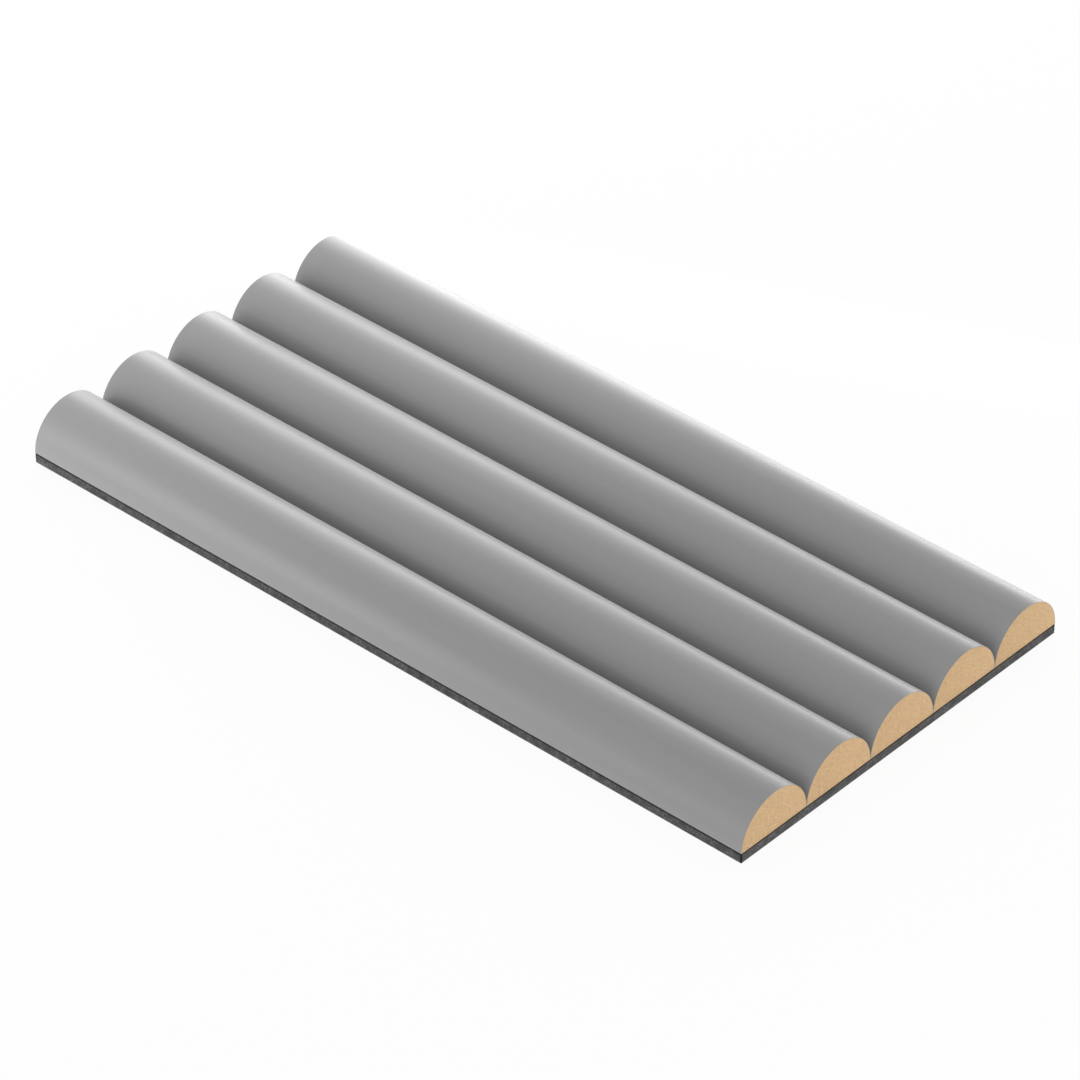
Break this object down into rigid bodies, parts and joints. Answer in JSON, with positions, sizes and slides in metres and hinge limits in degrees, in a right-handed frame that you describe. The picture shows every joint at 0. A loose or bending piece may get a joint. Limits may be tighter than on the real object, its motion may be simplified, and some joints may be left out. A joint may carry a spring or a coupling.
{
  "type": "fluted wall panel",
  "caption": "Fluted wall panel of half-round reeds in a grey face film over MDF cores, laid side by side on a dark felt backing that is glued to a wall.",
  "frame": {"origin": "middle of the back face, which is glued to the wall", "axes": "+X along the reeds, +Y across them, +Z out of the wall towards the room"},
  "size_m": [0.24, 0.12, 0.015],
  "materials": {
    "face_film": "satin",
    "mdf": "matte",
    "felt": "matte"
  },
  "bodies": {
    "root": {"felt_backing": "felt", "reed_core_1": "mdf", "reed_core_2": "mdf", "reed_core_3": "mdf", "reed_core_4": "mdf", "reed_core_5": "mdf", "reed_film_1": "face_film", "reed_film_2": "face_film", "reed_film_3": "face_film", "reed_film_4": "face_film", "reed_film_5": "face_film"}
  },
  "joints": []
}
